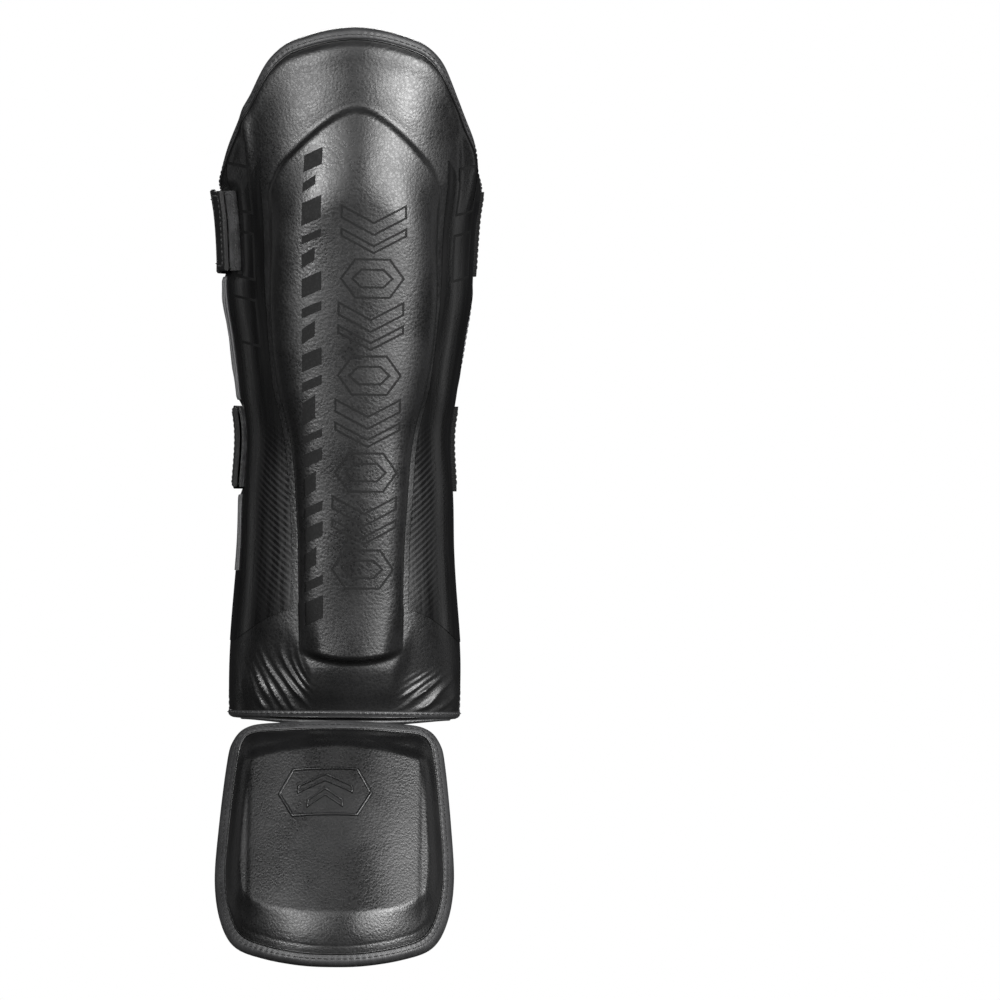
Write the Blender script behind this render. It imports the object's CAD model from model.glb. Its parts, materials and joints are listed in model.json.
import json
import math

import bpy
import bmesh
import numpy as np
from mathutils import Matrix, Vector

# Looks of a shin and instep guard. Lengths are in millimetres until a mesh is made. a is the
# angle round the leg in degrees from the front, + towards +X, as in the frame's own design.
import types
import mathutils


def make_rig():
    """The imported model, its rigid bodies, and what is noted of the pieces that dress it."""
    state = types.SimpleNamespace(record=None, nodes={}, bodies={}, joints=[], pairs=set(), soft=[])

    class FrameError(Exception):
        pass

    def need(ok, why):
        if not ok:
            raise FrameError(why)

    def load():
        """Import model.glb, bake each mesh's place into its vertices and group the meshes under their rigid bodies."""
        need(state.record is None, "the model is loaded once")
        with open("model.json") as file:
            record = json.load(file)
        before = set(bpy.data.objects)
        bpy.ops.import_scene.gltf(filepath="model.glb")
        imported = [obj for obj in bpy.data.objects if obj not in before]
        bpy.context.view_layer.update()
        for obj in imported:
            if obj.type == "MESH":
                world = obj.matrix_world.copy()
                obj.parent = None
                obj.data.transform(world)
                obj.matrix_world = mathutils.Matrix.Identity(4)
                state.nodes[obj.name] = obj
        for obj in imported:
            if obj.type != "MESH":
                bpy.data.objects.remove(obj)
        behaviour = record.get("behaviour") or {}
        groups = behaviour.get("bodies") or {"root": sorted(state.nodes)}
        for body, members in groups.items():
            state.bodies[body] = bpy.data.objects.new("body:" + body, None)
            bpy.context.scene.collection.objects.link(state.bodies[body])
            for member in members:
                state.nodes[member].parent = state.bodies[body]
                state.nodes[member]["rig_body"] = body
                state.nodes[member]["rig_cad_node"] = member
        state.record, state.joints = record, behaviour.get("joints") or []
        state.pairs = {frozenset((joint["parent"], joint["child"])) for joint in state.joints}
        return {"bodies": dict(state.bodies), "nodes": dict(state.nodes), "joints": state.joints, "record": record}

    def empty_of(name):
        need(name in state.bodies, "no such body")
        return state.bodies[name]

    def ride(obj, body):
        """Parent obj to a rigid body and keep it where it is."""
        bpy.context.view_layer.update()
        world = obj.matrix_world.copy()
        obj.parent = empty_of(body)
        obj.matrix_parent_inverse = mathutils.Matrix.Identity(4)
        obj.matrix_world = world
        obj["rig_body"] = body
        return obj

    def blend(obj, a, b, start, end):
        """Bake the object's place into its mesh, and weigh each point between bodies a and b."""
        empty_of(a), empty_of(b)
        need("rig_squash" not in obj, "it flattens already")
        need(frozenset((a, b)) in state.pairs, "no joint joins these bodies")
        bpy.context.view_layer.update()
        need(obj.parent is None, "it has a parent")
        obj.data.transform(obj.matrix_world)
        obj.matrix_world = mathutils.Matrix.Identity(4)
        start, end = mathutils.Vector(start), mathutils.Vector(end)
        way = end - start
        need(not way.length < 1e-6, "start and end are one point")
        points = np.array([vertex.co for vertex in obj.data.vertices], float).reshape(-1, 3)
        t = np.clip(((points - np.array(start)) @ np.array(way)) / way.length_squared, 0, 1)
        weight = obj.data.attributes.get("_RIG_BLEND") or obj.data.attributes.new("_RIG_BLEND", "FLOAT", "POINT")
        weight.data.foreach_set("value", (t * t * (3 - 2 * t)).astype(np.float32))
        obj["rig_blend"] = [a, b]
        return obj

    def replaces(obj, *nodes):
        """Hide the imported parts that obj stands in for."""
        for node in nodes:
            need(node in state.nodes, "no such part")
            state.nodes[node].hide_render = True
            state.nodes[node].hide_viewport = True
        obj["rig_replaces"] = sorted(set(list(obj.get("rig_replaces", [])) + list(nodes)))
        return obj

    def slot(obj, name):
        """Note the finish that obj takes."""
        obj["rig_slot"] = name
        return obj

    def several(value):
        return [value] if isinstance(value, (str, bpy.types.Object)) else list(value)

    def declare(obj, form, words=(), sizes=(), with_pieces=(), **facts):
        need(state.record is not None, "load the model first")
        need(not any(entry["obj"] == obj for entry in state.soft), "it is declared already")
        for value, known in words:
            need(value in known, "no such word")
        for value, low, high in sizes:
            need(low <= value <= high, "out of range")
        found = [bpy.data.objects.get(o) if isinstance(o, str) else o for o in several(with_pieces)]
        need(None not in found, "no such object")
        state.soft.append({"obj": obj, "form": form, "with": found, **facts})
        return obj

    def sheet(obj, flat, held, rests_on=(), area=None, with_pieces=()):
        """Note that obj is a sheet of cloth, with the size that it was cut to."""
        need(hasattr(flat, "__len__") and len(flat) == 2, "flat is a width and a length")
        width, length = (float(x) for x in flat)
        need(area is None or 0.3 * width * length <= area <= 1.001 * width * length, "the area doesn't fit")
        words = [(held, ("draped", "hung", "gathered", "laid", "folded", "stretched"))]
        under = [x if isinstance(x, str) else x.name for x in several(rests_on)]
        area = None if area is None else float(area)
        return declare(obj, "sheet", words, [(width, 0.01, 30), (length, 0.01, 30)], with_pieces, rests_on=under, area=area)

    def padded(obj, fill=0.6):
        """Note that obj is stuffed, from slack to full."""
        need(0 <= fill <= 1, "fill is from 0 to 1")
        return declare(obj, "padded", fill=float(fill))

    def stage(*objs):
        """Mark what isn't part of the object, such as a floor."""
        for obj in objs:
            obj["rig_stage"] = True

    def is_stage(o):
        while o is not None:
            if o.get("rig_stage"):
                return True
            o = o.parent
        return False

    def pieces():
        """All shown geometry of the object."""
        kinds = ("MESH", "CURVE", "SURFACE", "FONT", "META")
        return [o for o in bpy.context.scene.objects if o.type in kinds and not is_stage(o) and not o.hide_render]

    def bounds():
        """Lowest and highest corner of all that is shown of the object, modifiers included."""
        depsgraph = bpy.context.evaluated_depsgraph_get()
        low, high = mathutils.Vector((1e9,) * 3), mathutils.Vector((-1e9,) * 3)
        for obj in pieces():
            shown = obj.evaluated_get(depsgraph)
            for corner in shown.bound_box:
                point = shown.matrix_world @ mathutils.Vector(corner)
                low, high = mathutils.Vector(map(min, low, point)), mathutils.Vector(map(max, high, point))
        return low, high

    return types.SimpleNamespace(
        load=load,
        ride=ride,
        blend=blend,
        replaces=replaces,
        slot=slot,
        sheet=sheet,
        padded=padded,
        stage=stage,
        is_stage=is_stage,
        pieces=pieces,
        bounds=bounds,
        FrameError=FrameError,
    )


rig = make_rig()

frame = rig.load()
cad_low, cad_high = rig.bounds()

MM = 0.001

# ---- Driving sizes of the frame ----

SHIN_H = 364
CALF_HALF_W = 70
WAIST_HALF_W = 54.8
HEM_HALF_W = 60.5
FOAM_T, FOAM_EDGE_T = 10, 2.4
COVER_T, COVER_GAP = 1.4, 0.6
LINING_T, GLUE_GAP = 1.2, 0.2
EDGE_INSET = 2.75
RIDGE_H, RIDGE_TURN, RIDGE_TOP, RIDGE_BOTTOM = 8, 4, 323, 27
STRAP_W, STRAP_T = 44, 1.8
UPPER_STRAP_Z, LOWER_STRAP_Z = 257, 143
PATCH_T = 0.9
INSTEP_LEN, INSTEP_HALF_W = 139.5, 62.8
INSTEP_TILT, INSTEP_ARCH, PLATEAU_H = 25, 20, 4.5


# ---- Small maths ----

def smooth(x):
    t = np.clip(x, 0, 1)
    return t * t * (3 - 2 * t)


def mix(a, b, t):
    return a + (b - a) * t


def bell(x, width):
    return np.exp(-((x / width) ** 2))


def unit(v):
    return v / np.maximum(np.linalg.norm(v, axis=-1, keepdims=True), 1e-9)


def hermite(t, start, end, slope_at_start, slope_at_end):
    """Cubic from start to end as t runs from 0 to 1, with the slopes given."""
    return (
        (1 + 2 * t) * (1 - t) ** 2 * start + t * (1 - t) ** 2 * slope_at_start
        + t * t * (3 - 2 * t) * end + t * t * (t - 1) * slope_at_end
    )


def curve(points, x):
    """Smooth curve through a short list of (position, value) pairs."""
    xs, ys = np.array(points, float).T
    slopes = np.zeros(len(xs))
    slopes[1:-1] = (ys[2:] - ys[:-2]) / (xs[2:] - xs[:-2])
    x = np.asarray(x, float)
    i = np.clip(np.searchsorted(xs, x, side="right") - 1, 0, len(xs) - 2)
    h = xs[i + 1] - xs[i]
    t = np.clip((x - xs[i]) / h, 0, 1)
    return hermite(t, ys[i], ys[i + 1], h * slopes[i], h * slopes[i + 1])


# ---- Shape of the shin pad ----

# (height, value) pairs up the leg: half width, y of the front, half depth, and the angles that
# the wings and the ridge's sides reach. top_drop is the fall of the top edge by angle from
# TOP_TURN. The top and the hem lie further back than the frame's, and the hem is flatter, as
# the photo's highlights show.
half_width = [
    (0, HEM_HALF_W), (36, HEM_HALF_W - 0.1), (88, WAIST_HALF_W + 2), (120, WAIST_HALF_W + 1.4),
    (150, WAIST_HALF_W), (172, WAIST_HALF_W + 3), (200, WAIST_HALF_W + 6.8),
    (222, CALF_HALF_W - 5), (245, CALF_HALF_W - 3.8), (265, CALF_HALF_W - 2.4),
    (284, CALF_HALF_W), (SHIN_H, CALF_HALF_W),
]
front_line = [(0, -56.8), (60, -55), (150, -54.6), (250, -57.4), (292, -59.2), (SHIN_H, -59.5)]
depth = [(0, 50), (60, 48), (150, 48), (250, 58), (SHIN_H, 62)]
wing_reach = [
    (0, 104), (60, 106), (110, 111), (130, 116), (170, 116), (190, 99), (218, 99),
    (236, 118), (SHIN_H, 118),
]
top_drop = [(0, 0), (29, 6.5), (41, 16), (52, 35), (66, 56), (87, 80), (118, 83)]
TOP_TURN, HEM_RISE = 3.5, 0.4
ridge_half = [
    (20, 26.5), (84, 29.3), (115, 31.4), (136, 34), (157, 38.4), (178, 42.5), (200, 43.6),
    (250, 41.5), (SHIN_H, 41.5),
]
MM_PER_DEGREE = 1.05


def on_leg(a, z, off, w_z):
    """Points at angle a and height z, out from the pad's face by off, width taken at w_z."""
    d = curve(depth, w_z)
    r = np.radians(a)
    x = (curve(half_width, w_z) + off) * np.sin(r)
    y = curve(front_line, w_z) + d - (d + off) * np.cos(r)
    return np.stack(np.broadcast_arrays(x, y, z), -1)


def on_shin(a, z, off):
    return on_leg(a, z, off, z)


def arc_scale(a, z):
    """Millimetres along the face for one degree round the leg."""
    r = np.radians(a)
    return np.radians(np.hypot(curve(half_width, z) * np.cos(r), curve(depth, z) * np.sin(r)))


def top_z(a):
    return SHIN_H - curve(top_drop, np.abs(a - TOP_TURN))


def hem_z(a):
    return HEM_RISE * (1 - smooth(np.abs(a) / 70))


def reach(z):
    return curve(wing_reach, z)


def layer_reach(z):
    return reach(z) - EDGE_INSET / MM_PER_DEGREE


def inset_at(a, z):
    """Distance in from the nearest edge of the layers, which the tapes bind."""
    side = (reach(z) - np.abs(a)) * MM_PER_DEGREE
    return np.minimum(np.minimum(top_z(a) - z, z - hem_z(a)), side) - EDGE_INSET


# The moulded ridge. The frame's is a simpler form of it, without the small lip at its sides and
# top.
ARCH_H, ARCH_ROUND, SHOULDER_DROP = 38, 0.3, 6
SIDE_LIP, SIDE_LIP_SHARE = 0.3, 0.07
TOP_LIP, TOP_LIP_H, TOP_RISE_H = 0.27, 6, 52
FOOT_RAMP, FOOT_FADE, FOOT_LEAD, FOOT_BOW = 4.6, 36, 1.5, 6


def ridge_v(a, z):
    return (a - RIDGE_TURN) / curve(ridge_half, z)


def arch_gap(v, z):
    """Height of the ridge's arch above a point, for a point at share v across the ridge."""
    slope = (np.hypot(v, ARCH_ROUND) - ARCH_ROUND) / (np.hypot(1, ARCH_ROUND) - ARCH_ROUND)
    return RIDGE_TOP - ARCH_H * slope - SHOULDER_DROP * smooth((np.abs(v) - 0.8) / 0.2) - z


def ridge(a, z):
    """Height of the ridge over the face. Its sides and top rise by a small lip, then slowly."""
    v = ridge_v(a, z)
    crown = mix(0.7, 0.9, smooth((z - 30) / 150)) + 0.1 * (1 - v * v)
    low = 1 - smooth((z - RIDGE_BOTTOM) / FOOT_FADE)
    share = np.minimum(np.abs(v), 1)
    lip = SIDE_LIP * (1 - 0.85 * low)
    sides = lip * smooth((1 - share) / SIDE_LIP_SHARE) + (1 - lip) * (1 - share ** mix(5, 3, low))
    gap = arch_gap(v, z)
    top = TOP_LIP * smooth(gap / TOP_LIP_H) + (1 - TOP_LIP) * smooth(gap / TOP_RISE_H)
    foot = smooth((z - RIDGE_BOTTOM - FOOT_LEAD - FOOT_BOW * v * v) / FOOT_RAMP)
    fade = 1 - 0.5 * low * smooth((share - 0.5) / 0.5)
    return RIDGE_H * crown * sides * top * foot * fade


# Side, middle and spread in x and z, the point they turn about, pitch and height
FOLDS = ((-1, 36.5, 17, 14.5, 18, -25, 50, 4.6, 2.5), (1, 45, 12.5, 11.5, 11, 10, 62, 4.0, 2.1))


def folds(a, z):
    """Creases over the two lower corners, where the face rolls in to the hem."""
    x = curve(half_width, z) * np.sin(np.radians(a))
    total = 0
    for side, mid_x, mid_z, spread_x, spread_z, turn_x, turn_z, pitch, height in FOLDS:
        u, w = side * x - turn_x, turn_z - z
        far, turn = np.hypot(u, w), np.degrees(np.arctan2(w, u))
        wave = far / pitch + 0.35 * np.sin(turn / 9 + far / 6.5) + 0.3 * np.sin(far / 4.1)
        crest = 1 - np.abs(np.sin(np.pi * wave)) ** 0.8
        lean = ((side * x - mid_x) / spread_x) ** 2 + ((z - mid_z) / spread_z) ** 2
        strength = 0.6 + 0.4 * np.sin(far / 2.3 + turn / 13) * np.sin(turn / 6.1 + far / 3.7)
        total = total + height * strength * crest * np.exp(-lean ** 1.6)
    return total * smooth((z - 3.2) / 4)


HEM_ROLL, ROLL_H, ROLL_MORE = 6, 28, 24
EDGE_TURN_IN, EDGE_TURN_H, FRONT_TURN_IN, FRONT_TURN_H = 1.5, 12, 2.8, 46


def hem_roll(a):
    return HEM_ROLL * (1 - smooth((np.abs(a) - 30) / 45))


def face(a, z):
    """The pad's plain face: it turns in at the top edge and rolls in to the hem."""
    below_top = top_z(a) - z
    front = 1 - smooth((np.abs(a) - 18) / 30)
    turn_in = EDGE_TURN_IN * (1 - smooth(below_top / EDGE_TURN_H))
    turn_in = turn_in + FRONT_TURN_IN * (1 - smooth(below_top / FRONT_TURN_H)) * front
    roll_h = ROLL_H + ROLL_MORE * smooth((np.abs(ridge_v(a, z)) - 0.7) / 0.6)
    return -turn_in - hem_roll(a) * (1 - smooth((z - hem_z(a)) / roll_h))


def hand(a, z):
    """Slow unevenness of hand-lasted leather."""
    return 0.16 * np.sin(z / 23 + a / 31) * np.sin(a / 17 - z / 41) + 0.1 * np.sin(z / 11 - a / 13)


def wing_waves(a, z):
    """Slack folds in the cover on the upper wings, beside the ridge."""
    x = np.abs(a) * MM_PER_DEGREE
    left = 1.3 * bell(x - 53 - (z - 310) / 9, 3.4) * (a < 0)
    right = 0.8 * np.sin(x / 3.4 + np.sin(z / 17)) * smooth((x - 56) / 8) * (a > 0)
    return left * bell(z - 309, 22) + right * bell(z - 296, 24)


DENT = 1.6
# Each strap's height, and the angle where its loop pad ends at the front
closures = ((UPPER_STRAP_Z, -60), (LOWER_STRAP_Z, -78))


def dent(a, z):
    """The closed straps press into the wing that they land on."""
    pressed = sum(smooth((front_a + 8 - a) / 10) * smooth((27 - np.abs(z - z_mid)) / 6)
                  for z_mid, front_a in closures)
    return DENT * pressed


SEAM_AT, SEAM_DIP, SEAM_DIP_W, PUFF_AT, PUFF, PUFF_W = 4.6, 0.55, 1.7, 11, 0.5, 6


def cover_out(a, z):
    """The cover's outer face: out from the pad's face, with all that is pressed or sewn into it."""
    e = inset_at(a, z)
    dip = -SEAM_DIP * bell(e - SEAM_AT, SEAM_DIP_W) * smooth((z - 12) / 14)
    puff = PUFF * bell(e - PUFF_AT, PUFF_W)
    body = face(a, z) + ridge(a, z) + folds(a, z) + wing_waves(a, z)
    return body + dip + puff + hand(a, z) * smooth(e / 10) - dent(a, z)


def foam_out(a, z):
    return face(a, z) - COVER_T - COVER_GAP


def foam_in(a, z):
    thick = mix(FOAM_EDGE_T, FOAM_T, smooth((inset_at(a, z) + EDGE_INSET) / 24))
    return foam_out(a, z) - thick


def lining_out(a, z):
    ripple = 0.12 * np.sin(z / 5 + np.sin(a / 9)) * np.sin(a / 6 + z / 19)
    return foam_in(a, z) - GLUE_GAP + ripple * smooth((inset_at(a, z) - 4) / 8)


def lining_in(a, z):
    return lining_out(a, z) - LINING_T


def column(share, z):
    """Angle of a column: share runs from -2 at the -X edge over -1 and 1 at the ridge to 2."""
    b = curve(ridge_half, z)
    side = np.sign(share)
    out = np.clip(np.abs(share) - 1, 0, 1)
    beside = mix(RIDGE_TURN + side * b, side * layer_reach(z), out)
    return np.where(np.abs(share) > 1, beside, RIDGE_TURN + b * share)


def eased(n, ease=0.5):
    """n shares from 0 up to 1 that close up towards 1."""
    t = np.arange(n) / n
    return mix(t, np.sin(t * np.pi / 2), ease)


def column_shares(side, middle):
    inner = eased(middle // 2)
    outer = 2 - eased(side)
    half = np.concatenate([inner, [1.0], outer[1:][::-1], [2.0]])
    return np.concatenate([-half[:0:-1], half])


def shin_points(shares, heights, off, low=None, high=None):
    """Grid of points of the shin pad, rows from the hem up, and each point's (a, z)."""
    low_a, high_a = column(shares, 0), column(shares, SHIN_H)
    low_z = low(low_a) if low else hem_z(low_a) + EDGE_INSET
    high_z = high(high_a) if high else top_z(high_a) - EDGE_INSET
    z = mix(low_z[None, :], high_z[None, :], heights[:, None])
    a = column(shares[None, :], z)
    return on_shin(a, z, off(a, z)), a, z


# ---- Shape of the instep pad: w across it, s down it from the ankle, n out of its face ----

ANKLE_Y, ANKLE_Z, INSTEP_SHIFT, ARCH_W = -53, -1, -3.6, 60
half_outline = [
    (0, -0.5), (28, -1.5), (47, -2.5), (54.5, 3), (57.4, 15), (INSTEP_HALF_W - 1.8, 50),
    (INSTEP_HALF_W, 82), (59.6, 106), (52, 122.5), (37, INSTEP_LEN - 7.6),
    (18, INSTEP_LEN - 1.6), (0, INSTEP_LEN),
]
INSTEP_MID = np.array([0, INSTEP_LEN / 2])
LAYER_SHARE = 1 - EDGE_INSET / INSTEP_HALF_W
RIM_OUT, RIM_IN, RIM_RISE, RIM_W = 2.6, -2.6, 2.4, 7.5
PAD_IN = -5.4


def arch_drop(w):
    return INSTEP_ARCH * (w / ARCH_W) ** 2


def on_instep(w, s, n):
    tilt = math.radians(INSTEP_TILT)
    d = n - arch_drop(w)
    x = INSTEP_SHIFT + w
    y = ANKLE_Y - s * math.sin(tilt) - d * math.cos(tilt)
    z = ANKLE_Z - s * math.cos(tilt) + d * math.sin(tilt)
    return np.stack(np.broadcast_arrays(x, y, z), -1)


def closed_curve(knots, steps):
    """Smooth closed curve through knots, with steps points to each span."""
    p = np.array(knots, float)
    before, after, beyond = np.roll(p, 1, 0), np.roll(p, -1, 0), np.roll(p, -2, 0)
    t = (np.arange(steps) / steps)[None, :, None]
    start, stop = (after - before) / 2, (beyond - p) / 2
    points = hermite(t, p[:, None], after[:, None], start[:, None], stop[:, None])
    return points.reshape(-1, 2)


instep_outline = closed_curve(half_outline + [(-w, s) for w, s in half_outline[-2:0:-1]], 8)
layer_edge = INSTEP_MID + (instep_outline - INSTEP_MID) * LAYER_SHARE

# The raised field: a soft pillow inside the rim, with a step across its top, a longer fall
# towards the toes than at its sides, and a faint crease down each side
SIDE_LEAD, SIDE_RAMP, TOE_LEAD, TOE_RAMP = 2, 10, 6.5, 21
TOES_S, TOES_FADE, FIELD_H = 92, 30, PLATEAU_H + 0.7
TOP_STEP_S, TOP_STEP_W, CREASE_W, CREASE_D = 11, 8, 46, 0.35


def instep_rim(share):
    return RIM_OUT + RIM_RISE * smooth((1 - share) * INSTEP_HALF_W / RIM_W)


def instep_face(w, s, share):
    edge = (1 - share) * INSTEP_HALF_W
    toes = smooth((s - TOES_S) / TOES_FADE)
    t = np.clip((edge - mix(SIDE_LEAD, TOE_LEAD, toes)) / mix(SIDE_RAMP, TOE_RAMP, toes), 0, 1)
    pillow = mix(smooth(t), 1 - (1 - t) ** 2, toes)
    step = smooth((s - TOP_STEP_S - 3 * (w / CREASE_W) ** 2) / TOP_STEP_W)
    raised = FIELD_H * pillow * mix(0.55, 1, step)
    crease = -CREASE_D * bell(np.abs(w) - CREASE_W, 1.6) * step * (1 - toes)
    uneven = 0.1 * np.sin(w / 9 + s / 21) * np.sin(s / 13 - w / 17)
    return instep_rim(share) + raised + crease + uneven


def instep_base_out(share):
    return instep_rim(share) - COVER_T - 0.3


def instep_base_in(share):
    return mix(PAD_IN, RIM_IN + LINING_T + GLUE_GAP, smooth((share - 0.75) / 0.25))


# ---- Shape of the straps ----

STRAP_AXIS_A, STRAP_MID_A = 123.5, 180
ROOT_OFF, LOOP_IN = 2.1, 1.35
HOOK_IN = LOOP_IN + PATCH_T + 0.35
STRAP_IN = HOOK_IN + PATCH_T + 0.15
STRAP_OFF = STRAP_IN + STRAP_T / 2
TAB_LEN, HOOK_LEN = 12, 44
STRAP_END_A = (292, 276)
ANCHOR_A, ANCHOR_END_A = 100, 120.5


def strap_off(a):
    return mix(ROOT_OFF, STRAP_OFF, smooth((a - STRAP_AXIS_A) / 45))


def on_strap(a, dz, off, z_mid):
    """A point of a strap, dz above its middle line and off from its mid surface."""
    lifted = strap_off(a) + off - DENT * smooth((a - 236) / 12)
    return on_leg(a, z_mid + dz, lifted, z_mid + dz * smooth((a - 190) / 40))


# ---- Meshes ----

def grid_faces(rows, cols, closed=False):
    """Faces between the rows of a grid of points, numbered row by row."""
    r = np.arange(rows - 1)[:, None]
    c = np.arange(cols if closed else cols - 1)[None, :]
    d = (c + 1) % cols
    corners = [r * cols + c, r * cols + d, (r + 1) * cols + d, (r + 1) * cols + c]
    return np.stack(np.broadcast_arrays(*corners), -1).reshape(-1, 4)


def shell(front, back):
    """Closed solid between two grids of points."""
    n, m = front.shape[:2]
    shift = n * m
    faces = grid_faces(n, m)
    border = np.concatenate([
        np.arange(m - 1), np.arange(n - 1) * m + m - 1,
        (n - 1) * m + np.arange(m - 1, 0, -1), np.arange(n - 1, 0, -1) * m])
    after = np.roll(border, -1)
    rim = np.stack([after, border, border + shift, after + shift], -1)
    points = np.concatenate([front.reshape(-1, 3), back.reshape(-1, 3)])
    return points, np.concatenate([faces, faces[:, ::-1] + shift, rim]).tolist()


def tube(sections, closed=False):
    """Solid swept through ring sections, an array of (sections, ring points, 3)."""
    n, m = sections.shape[:2]
    faces = (grid_faces(n + 1 if closed else n, m, closed=True) % (n * m)).tolist()
    if not closed:
        faces += [list(range(m))[::-1], list(range((n - 1) * m, n * m))]
    return sections.reshape(-1, 3), faces


def dish(front, back):
    """Closed solid between two stacks of rings, whose last ring closes over the middle."""
    n, m = front.shape[:2]
    shift = n * m
    faces = grid_faces(n, m, closed=True)
    ring = np.arange(m)
    after = (ring + 1) % m
    rim = np.stack([after, ring, ring + shift, after + shift], -1)
    faces = np.concatenate([faces, faces[:, ::-1] + shift, rim]).tolist()
    inner = (n - 1) * m
    faces += [list(range(inner, inner + m)), list(range(inner + shift, inner + shift + m))[::-1]]
    return np.concatenate([front.reshape(-1, 3), back.reshape(-1, 3)]), faces


def with_normals(at, lift):
    """Points at a lift, and the way out from each. at gives the points for any lift."""
    line = at(lift)
    return line, unit(at(lift + 1) - line)


def leg_flow(a, z, third=0.0):
    """Flow of a piece on the leg: the way round it, the way up it and a third value."""
    return np.stack(np.broadcast_arrays(a * MM_PER_DEGREE, z, third), -1)


def run_along(line):
    """Distance along a line of points, from its start to each of them."""
    return np.concatenate([[0], np.cumsum(np.linalg.norm(np.diff(line, axis=0), axis=1))])


def strip_flow(run, across):
    """Flow of a swept strip: the way along it and the place across it."""
    return np.stack(np.broadcast_arrays(run[:, None], np.array(across)[None, :], 0.0), -1)


def linked(name, data):
    """A new object in the scene."""
    thing = bpy.data.objects.new(name, data)
    bpy.context.scene.collection.objects.link(thing)
    return thing


def piece(name, solid, look, body, slot, nodes=(), flow=None, sharp=50):
    """A finished piece. flow is stored at each point, for the materials to follow."""
    points, faces = solid
    mesh = bpy.data.meshes.new(name)
    mesh.from_pydata((points * MM).tolist(), [], faces)
    if flow is not None:
        values = flow.reshape(-1, 3)
        values = np.tile(values, (len(points) // len(values), 1))
        mesh.attributes.new("flow", "FLOAT_VECTOR", "POINT").data.foreach_set("vector", values.ravel())
    work = bmesh.new()
    work.from_mesh(mesh)
    bmesh.ops.recalc_face_normals(work, faces=work.faces)
    work.to_mesh(mesh)
    work.free()
    mesh.shade_smooth()
    mesh.set_sharp_from_angle(angle=math.radians(sharp))
    mesh.materials.append(look)
    thing = linked(name, mesh)
    if body:
        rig.ride(thing, body)
    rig.slot(thing, slot)
    if nodes:
        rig.replaces(thing, *nodes)
    return thing


# ---- Materials ----

BLUE = 1.03


class Look:
    """A procedural material under construction, and short names for the nodes it uses."""

    def __init__(self, name, **settings):
        self.material = bpy.data.materials.new(name)
        self.material.use_nodes = True
        self.nodes = self.material.node_tree.nodes
        self.shader = self.nodes["Principled BSDF"]
        self.object_co = self.node("ShaderNodeTexCoord").outputs["Object"]
        for key, value in settings.items():
            self.set(key.replace("_", " "), value)

    def set(self, socket, value):
        target = self.shader.inputs[socket]
        if isinstance(value, bpy.types.NodeSocket):
            self.material.node_tree.links.new(value, target)
        else:
            target.default_value = value

    def node(self, kind, props=None, **inputs):
        made = self.nodes.new(kind)
        for key, value in (props or {}).items():
            setattr(made, key, value)
        for key, value in inputs.items():
            target = made.inputs[int(key[1:]) if key[1:].isdigit() else key.replace("_", " ")]
            if isinstance(value, bpy.types.NodeSocket):
                self.material.node_tree.links.new(value, target)
            else:
                target.default_value = value
        return made

    def math(self, operation, *values):
        inputs = {f"_{i}": v for i, v in enumerate(values)}
        return self.node("ShaderNodeMath", {"operation": operation}, **inputs).outputs[0]

    def sum(self, *values):
        total = values[0]
        for value in values[1:]:
            total = self.math("ADD", total, value)
        return total

    def times(self, value, factor):
        return self.math("MULTIPLY", value, factor)

    def weighted(self, *pairs):
        """Sum of (value, weight) pairs."""
        return self.sum(*(self.times(value, weight) for value, weight in pairs))

    def wave(self, value, pitch, shift=None):
        """Sine of a value in millimetres, one turn to each pitch."""
        turned = self.times(value, 2 * math.pi / pitch)
        return self.math("SINE", turned if shift is None else self.sum(turned, shift))

    def scaled(self, value, low, high, to_low=0.0, to_high=1.0):
        made = self.node(
            "ShaderNodeMapRange", {"interpolation_type": "SMOOTHSTEP"}, Value=value,
            From_Min=low, From_Max=high, To_Min=to_low, To_Max=to_high)
        return made.outputs[0]

    def noise(self, scale, detail=3.0, rough=0.55, warp=0.0, co=None):
        made = self.node(
            "ShaderNodeTexNoise", Vector=co or self.object_co, Scale=scale, Detail=detail,
            Roughness=rough, Distortion=warp)
        return made.outputs["Fac"]

    def cells(self, scale, wander=0.0):
        co = self.object_co
        if wander:
            drift = self.node("ShaderNodeTexNoise", Vector=self.object_co, Scale=scale * 0.6)
            push = self.node("ShaderNodeVectorMath", {"operation": "SCALE"},
                             _0=drift.outputs["Color"], Scale=wander / scale).outputs[0]
            co = self.node("ShaderNodeVectorMath", {"operation": "ADD"}, _0=co, _1=push).outputs[0]
        return self.node("ShaderNodeTexVoronoi", Vector=co, Scale=scale).outputs["Distance"]

    def flow(self):
        """The three values stored with a piece's points."""
        at = self.node("ShaderNodeAttribute", {"attribute_name": "flow"})
        split = self.node("ShaderNodeSeparateXYZ", _0=at.outputs["Vector"])
        return [split.outputs[i] for i in range(3)]

    def tint(self, fac, low, high):
        """Base colour between two bluish greys."""
        dark, pale = ((value, value, value * BLUE, 1) for value in (low, high))
        made = self.node("ShaderNodeMix", {"data_type": "RGBA"}, _0=fac, _6=dark, _7=pale)
        self.set("Base Color", made.outputs[2])

    def bump(self, *layers):
        """Bump from (height, distance in mm, strength) layers, each on the last."""
        normal = None
        for height, distance, strength in layers:
            inputs = {"Height": height, "Distance": distance * MM, "Strength": strength}
            if normal:
                inputs["Normal"] = normal
            normal = self.node("ShaderNodeBump", **inputs).outputs[0]
        self.set("Normal", normal)
        return self.material


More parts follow.
